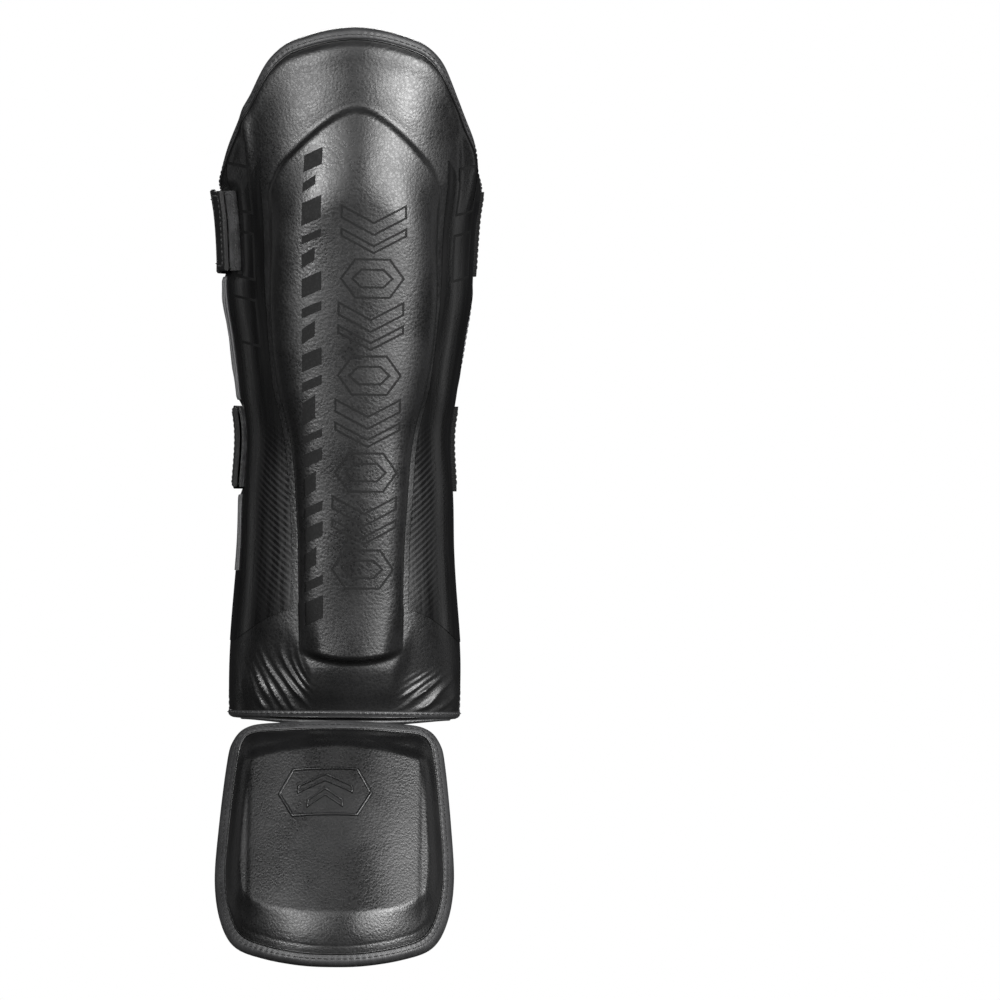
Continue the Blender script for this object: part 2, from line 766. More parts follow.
def leather(name, value, rough, grain=1.0):
    """Coated leather with a pebbled grain, fine pores and uneven polish."""
    look = Look(name, Specular_IOR_Level=0.5)
    pebble = look.cells(640 / grain, wander=0.8)
    fine = look.noise(1500, detail=4.0, rough=0.6)
    cloud = look.noise(28, detail=4.0)
    drag = look.noise(90, detail=3.0, warp=0.6)
    look.tint(look.scaled(look.weighted((cloud, 1), (fine, 0.35)), 0.45, 0.9),
              value * 0.82, value * 1.2)
    look.set("Roughness", look.sum(look.scaled(cloud, 0.35, 0.65, -0.05, 0.05),
                                   look.scaled(pebble, 0.0, 0.7, -0.03, 0.06), rough))
    return look.bump((drag, 0.5, 0.1), (pebble, 0.13, 0.5), (fine, 0.07, 0.4))


def panel_leather(name, side):
    """Near-black gloss film with streaks and, beside the ridge's lower half, a slanted hatch."""
    look = Look(name, Specular_IOR_Level=0.5)
    along, up, gap = look.flow()
    slant = look.sum(look.times(along, -0.62 * side), up)
    in_band = look.times(look.scaled(up, 46, 84), look.scaled(up, 162, 118))
    near = look.scaled(gap, 38, 12)
    hatch = look.times(look.times(look.scaled(look.wave(slant, 3.4), -0.1, 0.5), in_band), near)
    drawn_out = look.node("ShaderNodeCombineXYZ", _0=look.times(along, 0.22),
                          _1=look.times(up, 0.018), _2=0.0)
    streak = look.noise(1.0, detail=5.0, co=drawn_out.outputs[0])
    fine = look.noise(1300, detail=3.0)
    pebble = look.cells(620, wander=0.8)
    look.tint(look.weighted((hatch, 0.75), (streak, 0.25)), 0.003, 0.013)
    look.set("Roughness", look.sum(look.scaled(streak, 0.3, 0.7, 0.2, 0.34), look.times(hatch, 0.14)))
    return look.bump((streak, 0.8, 0.14), (pebble, 0.12, 0.22), (fine, 0.05, 0.2))


def tape(name, value, rough):
    """Folded binding tape: a close twill printed in the coating, with soft puckers."""
    look = Look(name, Specular_IOR_Level=0.45)
    along, across, _ = look.flow()
    twill = look.wave(look.sum(along, across), 1.1)
    pucker = look.wave(along, 3.3)
    fine = look.noise(1600, detail=4.0)
    wear = look.noise(60, detail=5.0, rough=0.65)
    look.tint(look.scaled(look.weighted((wear, 1), (fine, 0.4)), 0.45, 1.0),
              value * 0.75, value * 1.3)
    look.set("Roughness", look.scaled(wear, 0.3, 0.7, rough - 0.06, rough + 0.08))
    return look.bump((pucker, 0.12, 0.4), (twill, 0.05, 0.35), (fine, 0.08, 0.4))


def thread(name, value):
    """Twisted sewing thread."""
    look = Look(name, Roughness=0.55, Sheen_Weight=0.2)
    twist = look.node("ShaderNodeTexWave", {"bands_direction": "DIAGONAL"}, Vector=look.object_co,
                      Scale=1100).outputs["Fac"]
    look.tint(twist, value * 0.7, value * 1.3)
    return look.bump((twist, 0.08, 0.6))


def webbing(name, value):
    """Woven elastic: lengthwise ribs and close picks across them."""
    look = Look(name, Roughness=0.78, Sheen_Weight=0.03, Sheen_Roughness=0.5, Specular_IOR_Level=0.25)
    along, across, _ = look.flow()
    rib = look.wave(across, 1.25)
    pick = look.wave(along, 0.9, look.times(rib, 1.2))
    weave = look.times(look.scaled(rib, -0.7, 0.9), look.scaled(pick, -0.9, 0.6))
    fuzz = look.noise(1700, detail=3.0)
    look.tint(look.weighted((weave, 0.7), (fuzz, 0.3)), value * 0.45, value * 1.5)
    return look.bump((rib, 0.16, 0.7), (pick, 0.08, 0.6), (fuzz, 0.08, 0.3))


def knit(name, value):
    """Fine knitted lining with rows of loops and a brushed face."""
    look = Look(name, Roughness=0.85, Sheen_Weight=0.25, Sheen_Roughness=0.6)
    along, up, _ = look.flow()
    course = look.wave(up, 1.5)
    wale = look.wave(along, 1.3, look.times(course, 1.4))
    loop = look.times(look.scaled(wale, -0.6, 0.8), look.scaled(course, -1.1, 0.5))
    cloud = look.noise(35, detail=4.0)
    fuzz = look.noise(1900, detail=3.0)
    look.tint(look.weighted((loop, 0.5), (cloud, 0.3), (fuzz, 0.2)), value * 0.5, value * 1.6)
    return look.bump((loop, 0.2, 0.7), (fuzz, 0.1, 0.4))


def pile(name, low, high, scale, depth_mm):
    """Hook or loop fabric: a dense short pile, worn in patches."""
    look = Look(name, Roughness=0.95, Sheen_Weight=0.12, Sheen_Roughness=0.5, Specular_IOR_Level=0.2)
    tuft = look.cells(scale, wander=1.0)
    strand = look.noise(scale * 1.6, detail=5.0, rough=0.7, warp=1.5)
    patchy = look.scaled(look.noise(110, detail=3.0), 0.35, 0.65)
    look.tint(look.weighted((strand, 0.5), (patchy, 0.5)), low, high)
    return look.bump((tuft, depth_mm, 0.7), (strand, depth_mm, 0.8))


def sponge(name, value):
    """Closed-cell foam."""
    look = Look(name, Roughness=0.95)
    cell = look.cells(1100)
    coarse = look.cells(420, wander=0.5)
    look.tint(look.scaled(look.weighted((cell, 1), (coarse, 0.5)), 0.2, 1.1),
              value * 0.5, value * 1.4)
    return look.bump((coarse, 0.35, 0.6), (cell, 0.2, 0.7))


def print_film(name, value):
    """Thin dark print on leather, duller than what it lies on."""
    look = Look(name, Specular_IOR_Level=0.22)
    fine = look.noise(1500, detail=4.0)
    pebble = look.cells(640, wander=0.8)
    cloud = look.noise(40, detail=3.0)
    look.tint(look.scaled(cloud, 0.35, 0.65), value * 0.7, value * 1.3)
    look.set("Roughness", look.scaled(pebble, 0.0, 0.7, 0.56, 0.66))
    return look.bump((pebble, 0.08, 0.35), (fine, 0.04, 0.3))


cover_look = leather("matte_leather", 0.005, 0.31)
instep_look = leather("instep_leather", 0.005, 0.3, grain=0.8)
lip_look = leather("lip_leather", 0.02, 0.36, grain=0.8)
tab_look = leather("tab_leather", 0.004, 0.5, grain=0.8)
left_panel_look = panel_leather("gloss_film_left", -1)
right_panel_look = panel_leather("gloss_film_right", 1)
tape_look = tape("binding_tape", 0.03, 0.44)
hem_tape_look = tape("hem_tape", 0.03, 0.38)
cord_look = leather("piping_leather", 0.003, 0.3, grain=0.5)
side_cord_look = tape("side_cord_cloth", 0.09, 0.5)
side_tape_look = tape("side_binding_tape", 0.05, 0.45)
thread_look = thread("black_thread", 0.006)
pale_thread_look = thread("grey_thread", 0.1)
elastic_look = webbing("woven_elastic", 0.007)
lining_look = knit("knitted_lining", 0.03)
loop_look = pile("loop_pile", 0.004, 0.07, 1500, 0.35)
hook_look = pile("hook_pile", 0.006, 0.03, 900, 0.45)
foam_look = sponge("closed_cell_foam", 0.06)
print_look = print_film("dark_print", 0.002)
film_line_look = print_film("film_line", 0.004)
emblem_look = leather("emblem_leather", 0.006, 0.28, grain=0.7)


# ---- Shin pad ----

# Columns crowd towards the ridge's sides and the edges, and rows towards the hem and the top
cover_shares = column_shares(72, 80)
cover_heights = np.concatenate([
    np.linspace(0, 0.14, 64, endpoint=False), np.linspace(0.14, 0.79, 96, endpoint=False),
    np.linspace(0.79, 1, 56)])
plain_shares = column_shares(30, 24)
plain_heights = np.concatenate([np.linspace(0, 0.12, 14, endpoint=False), np.linspace(0.12, 1, 76)])


def area_of(points, faces):
    """Half of a thin solid's surface, in square metres: the area of its cloth."""
    quads = np.array([f for f in faces if len(f) == 4])
    p = points[quads] * MM
    return float(np.linalg.norm(np.cross(p[:, 2] - p[:, 0], p[:, 3] - p[:, 1]), axis=-1).sum() / 4)


def shin_layer(name, shares, heights, out, back, look, slot, node):
    front, a, z = shin_points(shares, heights, out)
    solid = shell(front, shin_points(shares, heights, back)[0])
    made = piece(name, solid, look, "shin", slot, [node], leg_flow(a, z, inset_at(a, z)))
    return made, solid


def shin_sheet(name, *layer):
    """A layer that is cut from sheet, declared with the size of the cut."""
    thing, solid = shin_layer(name, *layer)
    area = area_of(*solid)
    height = (SHIN_H - 2 * EDGE_INSET) * MM
    width = max(2 * layer_reach(SHIN_H) * MM_PER_DEGREE * MM, area / height)
    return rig.sheet(thing, flat=(width, height), held="stretched", area=area)


def shin_pads():
    shin_sheet("shin_cover_leather", cover_shares, cover_heights, cover_out,
               lambda a, z: cover_out(a, z) - COVER_T, cover_look, "cover_leather", "shin_cover")
    foam, _ = shin_layer("shin_base_pad", plain_shares, plain_heights, foam_out, foam_in,
                         foam_look, "foam", "shin_base_foam")
    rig.padded(foam, fill=0.9)
    shin_sheet("shin_lining_fabric", column_shares(50, 44), np.linspace(0, 1, 150), lining_out,
               lining_in, lining_look, "lining_fabric", "shin_lining")

    low = -COVER_T - COVER_GAP + 0.15
    shares, heights = np.linspace(-0.97, 0.97, 48), np.linspace(0.06, 0.93, 90)
    front, back = (shin_points(shares, heights, off)[0] for off in (
        lambda a, z: face(a, z) + np.maximum(low + 0.25, ridge(a, z) - COVER_T - 0.4),
        lambda a, z: face(a, z) + low))
    ridge_pad = piece("shin_ridge_pad", shell(front, back), foam_look, "shin", "foam",
                      ["shin_ridge_foam"])
    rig.padded(ridge_pad, fill=1)


# Gloss panels beside the ridge: arcs along the bottom, and a peak beside the ridge at the top
PANEL_OUT, PANEL_IN, PANEL_GAP = 0.3, 0.06, 0.045


def panel_low(a):
    return 41 + 17 * (1 - smooth((np.abs(a - RIDGE_TURN) - 26) / 56))


def panel_high(a):
    out = np.abs(a - RIDGE_TURN) - 42
    return 296 - 22 * smooth(out / 18) - 8 * smooth((out - 30) / 20)


def side_panels():
    for side, name, look in ((-1, "left", left_panel_look), (1, "right", right_panel_look)):
        shares = np.sort(side * np.linspace(1 + PANEL_GAP, 1.985, 60))
        grids = [shin_points(shares, np.linspace(0, 1, 130), lambda a, z: cover_out(a, z) + lift,
                             panel_low, panel_high) for lift in (PANEL_OUT, PANEL_IN)]
        front, a, z = grids[0]
        gap = np.abs(a - RIDGE_TURN) - curve(ridge_half, z)
        piece(f"{name}_gloss_panel", shell(front, grids[1][0]), look, "shin", "gloss_panel",
              [f"{name}_side_panel"], leg_flow(a, z, gap))


# ---- Edges: a tape folded over the layers, and its stitches ----

NOSE, TAPE_T = 2.6, 0.8
PIPING_R, SIDE_CORD_R, STITCH_W = 0.62, 0.8, 0.6
SMALL_RING = np.radians(np.arange(0, 360, 45))


def round_ring(base, across, out, radius):
    """Sections of a round cord about a line of points."""
    ring = [base + radius * (across * math.cos(t) + out * math.sin(t)) for t in SMALL_RING]
    return np.stack(ring, 1)


def shin_place(path, inward, inset, side, lift):
    """Points of the tape at inset from the layers' edge, on their face (side 1) or back (-1)."""
    a, z = path.T
    k = arc_scale(a, z)
    at_a, at_z = a + inward[:, 0] * inset / k, z + inward[:, 1] * inset
    held_a, held_z = (at_a, at_z) if inset > 0 else (a, z)
    out, back = cover_out(held_a, held_z), lining_in(held_a, held_z)
    return on_shin(at_a, at_z, (out + back) / 2 + side * ((out - back) / 2 + lift))


def instep_place(path, inward, inset, side, lift):
    """The same on the instep pad's rim."""
    w, s = (path + inward * inset).T
    out = RIM_OUT + RIM_RISE * smooth(max(inset, 0) / RIM_W)
    return on_instep(w, s, (out + RIM_IN) / 2 + side * ((out - RIM_IN) / 2 + lift))


def tape_profile(front, back):
    """(inset, side, lift) round a tape that covers front and back millimetres of its layers."""
    turn = np.radians(np.linspace(90, -90, 9))
    outer = [(front, 1, -0.1), (front - 0.15, 1, TAPE_T * 0.6), (front - 0.7, 1, TAPE_T)]
    outer += [(t, 1, TAPE_T) for t in np.linspace(front - 1.6, 0.4, 3)]
    outer += [(-NOSE * math.cos(t), math.sin(t), TAPE_T) for t in turn]
    outer += [(t, -1, TAPE_T) for t in np.linspace(0.4, back - 0.7, 3)]
    outer += [(back - 0.15, -1, TAPE_T * 0.6), (back, -1, -0.1)]
    inner = [(back - 0.5, -1, -0.3), (0.3, -1, -0.3)]
    inner += [(-(NOSE - TAPE_T) * math.cos(t), math.sin(t), 0) for t in turn[::-1][1:-1]]
    inner += [(0.3, 1, -0.3), (front - 0.5, 1, -0.3)]
    return outer + inner


def binding(name, path, inward, place, front, back, look, body, node, closed=False):
    """Tape folded over an edge, along a path."""
    profile = tape_profile(front, back)
    sections = np.stack([place(path, inward, *p) for p in profile], 1)
    flow = strip_flow(run_along(sections.mean(1)), [inset * side for inset, side, _ in profile])
    return piece(name, tube(sections, closed), look, body, "binding", [node], flow, sharp=60)


def cord(name, path, inward, place, inset, body, closed=False):
    """Round piping sewn in beside a tape."""
    base, out = with_normals(lambda lift: place(path, inward, inset, 1, lift), 0.15)
    ahead = np.roll(base, -1, 0) - np.roll(base, 1, 0) if closed else np.gradient(base, axis=0)
    ring = round_ring(base, np.cross(unit(ahead), out), out, PIPING_R)
    return piece(name, tube(ring, closed), cord_look, body, "binding", sharp=80)


def side_cord(name, a, z):
    """Round cord lying on a side panel."""
    base, out = with_normals(lambda lift: on_shin(a, z, cover_out(a, z) + lift), PANEL_OUT)
    ring = round_ring(base, np.cross(unit(np.gradient(base, axis=0)), out), out, SIDE_CORD_R)
    return piece(name, tube(ring), side_cord_look, "shin", "binding", sharp=80)


def spaced(line, normals, step, length):
    """Start and end points and normals of stitches along a line."""
    run = run_along(line)
    count = int((run[-1] - length) // step)
    starts = (run[-1] - count * step - length) / 2 + step * np.arange(count + 1)

    def at(values, where):
        return np.stack([np.interp(where, run, values[:, i]) for i in range(3)], -1)

    return at(line, starts), at(line, starts + length), unit(at(normals, starts + length / 2))


def stitches(name, rows, body, look=thread_look, step=3.3, length=2.5, high=0.42):
    """Raised thread, one bead to a stitch. rows are (line, normals) pairs."""
    ends = [spaced(line, normals, step, length) for line, normals in rows]
    p, q, n = (np.concatenate([e[i] for e in ends]) for i in range(3))
    b = np.cross(unit(q - p), n)
    share = np.array([0, 0.08, 0.3, 0.7, 0.92, 1])
    swell = np.array([0.35, 0.8, 1, 1, 0.8, 0.35])
    sink = np.array([-0.7, -0.1, 0.1, 0.1, -0.1, -0.7]) * high
    turn = np.radians(np.arange(0, 360, 60))
    centre = p[:, None] + (q - p)[:, None] * share[None, :, None] + n[:, None] * sink[None, :, None]
    ring = (
        b[:, None, None] * (np.cos(turn) * STITCH_W / 2)[None, None, :, None]
        + n[:, None, None] * (np.sin(turn) * high)[None, None, :, None])
    points = centre[:, :, None] + ring * swell[None, :, None, None]
    bead, one = tube(points[0])
    faces = [[v + k * len(bead) for v in f] for k in range(len(p)) for f in one]
    return piece(name, (points.reshape(-1, 3), faces), look, body, "binding", sharp=80)


def web_stitches(name, rows, body):
    """The closer stitching of the webbing and its patches."""
    return stitches(name, rows, body, step=3.0, length=2.3)


def tape_row(path, inward, place, inset, side=1, closed=False):
    """Line and normals of a stitch row on a tape."""
    line, normals = with_normals(lambda lift: place(path, inward, inset, side, lift), TAPE_T + 0.12)
    if closed:
        line, normals = np.concatenate([line, line[:1]]), np.concatenate([normals, normals[:1]])
    return line, normals


def edge_path(points, side):
    """A path along an edge of the shin pad, and the way in from it, in the pad's own surface."""
    a, z = points.T
    k = arc_scale(a, z)
    t = unit(np.stack([np.gradient(a) * k, np.gradient(z)], -1))
    return points, side * np.stack([t[:, 1], -t[:, 0]], -1)


def shin_edges():
    end_a = float(layer_reach(SHIN_H)) + 2.2
    a = np.linspace(-end_a, end_a, 260)
    top = edge_path(np.stack([a, top_z(a) - EDGE_INSET], -1), 1)
    end_a = float(layer_reach(EDGE_INSET)) + 2
    a = np.linspace(-end_a, end_a, 200)
    hem = edge_path(np.stack([a, hem_z(a) + EDGE_INSET], -1), -1)
    z = np.linspace(EDGE_INSET, float(top_z(100.0)) - EDGE_INSET, 240)
    left = edge_path(np.stack([-layer_reach(z), z], -1), 1)
    right = edge_path(np.stack([layer_reach(z), z], -1), -1)

    binding("top_edge_tape", *top, shin_place, 3.7, 4.4, tape_look, "shin", "top_binding")
    binding("hem_tape", *hem, shin_place, 1.6, 4.4, hem_tape_look, "shin", "hem_binding")
    cord("top_piping", *top, shin_place, 4.0, "shin")
    stitches("top_stitches", [tape_row(*top, shin_place, 1.5)], "shin")
    stitches("hem_stitches", [tape_row(*hem, shin_place, 0.4)], "shin")
    backs = [tape_row(*edge, shin_place, 2.2, -1) for edge in (top, hem, left, right)]
    stitches("edge_back_stitches", backs, "shin", high=0.25)
    for name, edge in (("left", left), ("right", right)):
        binding(f"{name}_edge_tape", *edge, shin_place, 4.6, 4.8, side_tape_look, "shin",
                f"{name}_edge_binding")
        rows = [tape_row(*edge, shin_place, inset) for inset in (0.9, 3.3)]
        stitches(f"{name}_edge_stitches", rows, "shin", pale_thread_look, high=0.25)

    # Three cords run down the outer side's panel, between and below the straps
    for name, low_z, high_z in (("upper", 168, 233), ("lower", 78, 118)):
        z = np.linspace(low_z, high_z, 60)
        for k, a in enumerate((-88, -82.5, -77.5)):
            side_cord(f"{name}_side_cord_{k + 1}", np.full_like(z, a), z)

    # A fine piping along the hem tape's lower edge catches the light
    a = np.linspace(-66, 70, 120)
    tall = 0.7 + 0.9 * smooth((68 - np.abs(a - 2)) / 50)
    z = hem_z(a) + 1.6 - 1.9 * tall
    mid = (cover_out(a, 4 + 0 * a) + lining_in(a, 4 + 0 * a)) / 2 + 1.9
    ring = [on_shin(a, z + tall * math.sin(t), mid + 0.95 * math.cos(t)) for t in SMALL_RING]
    piece("hem_piping", tube(np.stack(ring, 1)), lip_look, "shin", "binding", sharp=80)


def ankle_roll():
    """Padded crescent on the face, over the hem tape and just above it."""
    u = np.linspace(-1, 1, 15)[:, None]
    t = np.linspace(-1, 1, 70)[None, :]
    a = 1 + 44 * t
    z = 3.0 - 1.2 * t * t + (0.15 + 1.95 * (1 - t * t) ** 0.7) * u
    down = (1 - u) / 2
    swell = smooth((down - 0.2) / 0.65) * (1 - 0.9 * smooth((down - 0.86) / 0.14))
    bulge = 0.1 + 1.6 * swell * (1 - 0.8 * t * t)
    over_tape = (1.5 - 0.5 * t * t) * smooth((4.0 - z) / 2.5)
    base = cover_out(a, np.maximum(z, hem_z(a) + 0.4)) + over_tape
    solid = shell(on_shin(a, z, base + bulge), on_shin(a, z, base - 0.3))
    roll = piece("ankle_roll", solid, lip_look, "shin", "cover_leather", ["ankle_lip"])
    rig.padded(roll, fill=0.8)


# ---- Graphics: plain figures printed on the ridge and the sides, and raised on the instep ----

RIBBON_STEP, BAR_STEP = 1.4, 1.3


def on_ridge(points, lift):
    """Points of the face seen from the front at (x, z)."""
    x, z = points[..., 0], points[..., 1]
    a = np.degrees(np.arcsin(np.clip(x / (curve(half_width, z) + RIDGE_H), -1, 1)))
    return on_shin(a, z, cover_out(a, z) + lift)


def on_wing(points, lift):
    """Points of the side at (arc length, z)."""
    a, z = points[..., 0] / MM_PER_DEGREE, points[..., 1]
    return on_shin(a, z, cover_out(a, z) + PANEL_OUT + lift)


def on_field(points, lift):
    """Points of the instep's raised field at (w, s)."""
    w, s = points[..., 0], points[..., 1]
    return on_instep(w, s, instep_face(w, s, np.full_like(w, 0.4)) + lift)


FLAT_RIBBON = [(-1, -0.05), (-1, 0.09), (1, 0.09), (1, -0.05)]
ROUND_RIBBON = [(-1.3, -0.2), (-0.95, 0.35), (-0.4, 0.75), (0.4, 0.75), (0.95, 0.35), (1.3, -0.2)]


def ribbon(corners, width, place, profile):
    """Closed ribbon along a polygon's outline, mitred at its corners."""
    p = np.array(corners, float)
    ahead = unit(np.roll(p, -1, 0) - p)
    behind = np.roll(ahead, 1, 0)
    n0, n1 = (np.stack([-d[:, 1], d[:, 0]], -1) for d in (behind, ahead))
    mitre = (n0 + n1) / np.maximum(1 + (n0 * n1).sum(-1, keepdims=True), 0.25)
    spots, sides = [], []
    for k in range(len(p)):
        after = (k + 1) % len(p)
        count = max(1, int(np.ceil(np.linalg.norm(p[after] - p[k]) / RIBBON_STEP)))
        t = (np.arange(count) / count)[:, None]
        spots.append(mix(p[k], p[after], t))
        sides.append(mix(mitre[k], mitre[after], t))
    spots, sides = np.concatenate(spots), np.concatenate(sides)
    sections = np.stack([place(spots + sides * c * width / 2, h) for c, h in profile], 1)
    return tube(sections, closed=True)


def joined(solids):
    """Several solids as one mesh."""
    points, faces, shift = [], [], 0
    for p, f in solids:
        points.append(p)
        faces += [[v + shift for v in one] for one in f]
        shift += len(p)
    return np.concatenate(points), faces


def bar(corners):
    """Quadrilateral printed on the ridge."""
    p = np.array(corners, float)
    u, v = (np.linspace(0, 1, int(np.linalg.norm(p[k] - p[0]) / BAR_STEP) + 2) for k in (1, 3))
    u, v = u[None, :, None], v[:, None, None]
    spots = mix(mix(p[0], p[1], u), mix(p[3], p[2], u), v)
    return shell(on_ridge(spots, 0.08), on_ridge(spots, -0.05))


def hexagon(mid, half_w, half_h, nick=0.45):
    x, z = mid
    inner = half_w * (1 - nick)
    return [(x - inner, z - half_h), (x + inner, z - half_h), (x + half_w, z),
            (x + inner, z + half_h), (x - inner, z + half_h), (x - half_w, z)]


def chevron(mid, half_w, thick, drop):
    x, low, high = mid[0], mid[1] - drop / 2, mid[1] + drop / 2
    return [(x - half_w, high), (x, low), (x + half_w, high),
            (x + half_w, high + thick), (x, low + thick), (x - half_w, high + thick)]


FIGURE_TOP, FIGURE_PITCH, FIGURES, FIGURE_X, FIGURE_LEAN = 257, 25.4, 8, 14.2, 0.024
BAR_TOP, BAR_BOTTOM, BAR_GAP, BAR_SLOPE = 296, 44, 5.6, 4.5
BAR_X, BAR_LEAN, BAR_W, SHORT_BAR_W = -24.5, 0.012, 10.5, 7
BAR_HEIGHTS = (9, 5, 12, 4, 7, 10, 5, 8)


def figure_column():
    """Hexagons and chevrons in turn, down the ridge."""
    outlines = []
    for k in range(FIGURES):
        z = FIGURE_TOP - FIGURE_PITCH * k
        x = FIGURE_X - FIGURE_LEAN * (FIGURE_TOP - z)
        if k % 2:
            outlines += [hexagon((x, z), 16.5, 10), hexagon((x, z), 10.5, 4.6)]
        else:
            outlines += [chevron((x, z + 2), 17, 6.2, 9), chevron((x, z - 7.5), 17, 3.6, 9)]
    return [ribbon(outline, 1.15, on_ridge, FLAT_RIBBON) for outline in outlines]


def bar_row():
    """Slanted bars of uneven height, beside the figures."""
    bars = []
    z, k = BAR_TOP, 0
    while z > BAR_BOTTOM:
        tall = BAR_HEIGHTS[k % len(BAR_HEIGHTS)]
        left = BAR_X + BAR_LEAN * (BAR_TOP - z)
        right = left + (SHORT_BAR_W if k % 3 == 1 else BAR_W)
        low = z - tall
        bars.append(bar([(left, low), (right, low + BAR_SLOPE), (right, z + BAR_SLOPE), (left, z)]))
        z -= tall + BAR_GAP
        k += 1
    return bars


def side_outlines():
    """Faint slanted outlines on the side panels."""
    outlines = []
    for side, first, last, count in ((-1, 50, 70, 3), (1, 60, 78, 2)):
        for k in range(count):
            z = 266 - 35 * k
            corners = [(first, z), (last, z + 3), (last, z + 27), (first, z + 24)]
            corners = [(side * x, height) for x, height in corners]
            outlines.append(ribbon(corners, 1.4, on_wing, FLAT_RIBBON))
    return outlines


def prints():
    for name, solids, look, slot in (
            ("ridge_outline_print", figure_column(), print_look, "cover_leather"),
            ("ridge_bar_print", bar_row(), print_look, "cover_leather"),
            ("side_outline_print", side_outlines(), film_line_look, "gloss_panel")):
        piece(name, joined(solids), look, "shin", slot, sharp=80)


# ---- Straps ----

WEB_EDGE_BULGE, WEB_WAVE = 0.12, 0.12
PATCH_BACK, PATCH_ROUNDING = 0.4, 0.35
BLEND_A = 6
OVERLAP_A = 150


def band_ring(wide, thick):
    """Cross-section of webbing: flat faces and a slightly thicker woven edge."""
    half = wide / 2
    across = np.concatenate([[-half], np.linspace(-half + 0.9, half - 0.9, 9), [half]])
    edge = np.where(np.abs(across) > half - 2, WEB_EDGE_BULGE, 0)
    top = [(x, thick / 2 + e if abs(x) < half else thick * 0.22) for x, e in zip(across, edge)]
    return top + [(x, -n) for x, n in top[::-1]]


def swept(name, ring, place, look, body, slot, node):
    """Webbing swept along a way: place gives its line at each (x, n) of the cross-section."""
    sections = np.stack([place(x, n) for x, n in ring], 1)
    run = run_along(sections[:, 0])
    flow = strip_flow(run, [x for x, _ in ring])
    made = piece(name, tube(sections), look, body, slot, [node], flow, sharp=60)
    return made, float(run[-1])


def band(name, z_mid, a0, a1, off, look, slot, node, body=None, wide=STRAP_W, thick=STRAP_T,
         steps=60, wave=0.0):
    """A length of webbing from angle a0 to a1, off from the strap's mid surface."""
    a = np.linspace(a0, a1, steps)
    ends = 1 - 0.25 * bell(a - a0, 0.3) - 0.25 * bell(a - a1, 0.3)

    def place(x, n):
        lift = off + n * ends + wave * np.sin(a / 5.5 + x / 9)
        return on_strap(a, np.full_like(a, x), lift, z_mid)

    return swept(name, band_ring(wide, thick), place, look, body, slot, node)


def box(a0, a1, half):
    """Corners of a sewn box, back to the first."""
    return [(a0, -half), (a1, -half), (a1, half), (a0, half), (a0, -half)]


def crossed_box(a0, a1, half):
    return [box(a0, a1, half), [(a0, -half), (a1, half)], [(a1, -half), (a0, half)]]


def between(corners):
    """Close points (a, dz) on the straight lines that join the corners."""
    spans = len(corners) - 1
    steps = np.linspace(0, spans, 24 * spans)
    return [np.interp(steps, range(spans + 1), c) for c in np.array(corners, float).T]


def strap_row(z_mid, corners, off):
    """Line and normals of stitching on a strap through (a, dz) corners."""
    a, dz = between(corners)
    return with_normals(lambda lift: on_strap(a, dz, lift, z_mid), off)


def wing_row(z_mid, corners, off):
    """The same on a wing of the shin pad, where a closed strap has pressed it in."""
    a, dz = between(corners)
    z = z_mid + dz
    return with_normals(lambda lift: on_shin(a, z, lift - dent(a, z)), off)


def hinge_points(a, z_mid):
    """Points either side of the turn at angle a, for a piece that bends there."""
    ends = [on_strap(np.array([a + d]), np.array([0.0]), 0.0, z_mid)[0] * MM
            for d in (-BLEND_A, BLEND_A)]
    return {"start": tuple(ends[0]), "end": tuple(ends[1])}


def strap(level, z_mid, end_a):
    """Elastic strap, sewn at its root, with a hook pad and a grip tab at its end."""
    base, flap = f"{level}_strap_base", f"{level}_strap_flap"
    root, root_len = band(f"{level}_strap_inner_half", z_mid, ANCHOR_A + 4, OVERLAP_A + 6, 0,
                          elastic_look, "elastic", f"{level}_strap_root", wave=WEB_WAVE)
    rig.sheet(root, flat=(STRAP_W * MM, root_len * MM), held="stretched")
    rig.blend(root, "shin", base, **hinge_points(STRAP_AXIS_A, z_mid))

    # The outer half starts on the inner half and goes on round the calf
    outer_off = STRAP_T + 0.1
    a0, tab_a = OVERLAP_A - 4, end_a - TAB_LEN
    end, end_len = band(f"{level}_strap_outer_half", z_mid, a0, tab_a + 2, 0,
                        elastic_look, "elastic", f"{level}_strap_end", wave=WEB_WAVE, steps=110)
    step_up(end, a0, z_mid, outer_off)
    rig.sheet(end, flat=(STRAP_W * MM, end_len * MM), held="stretched")
    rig.blend(end, base, flap, **hinge_points(STRAP_MID_A, z_mid))

    splice = crossed_box(a0 + 1.5, OVERLAP_A + 5, STRAP_W / 2 - 3)
    web_stitches(f"{level}_splice_stitches",
                 [strap_row(z_mid, r, outer_off + STRAP_T / 2 + 0.25) for r in splice], base)
    hook_a = tab_a - 2
    band(f"{level}_hook_pad", z_mid, hook_a - HOOK_LEN + 2, hook_a, HOOK_IN + PATCH_T / 2 - STRAP_OFF,
         hook_look, "hook_fabric", f"{level}_hook_patch", flap, STRAP_W - 6, PATCH_T)
    sides = [[(hook_a - HOOK_LEN + 3, x), (hook_a - 1, x)] for x in (-17, 17)]
    web_stitches(f"{level}_hook_stitches",
                 [strap_row(z_mid, r, STRAP_T / 2 + 0.15) for r in sides], flap)
    band(f"{level}_grip_tab", z_mid, tab_a, end_a, 0, tab_look, "cover_leather",
         f"{level}_pull_tab", flap, STRAP_W - 2, STRAP_T + 1.0, steps=16)
    tab = box(tab_a + 1.6, end_a - 1.6, 18.5)
    web_stitches(f"{level}_tab_stitches", [strap_row(z_mid, tab, STRAP_T / 2 + 0.62)], flap)


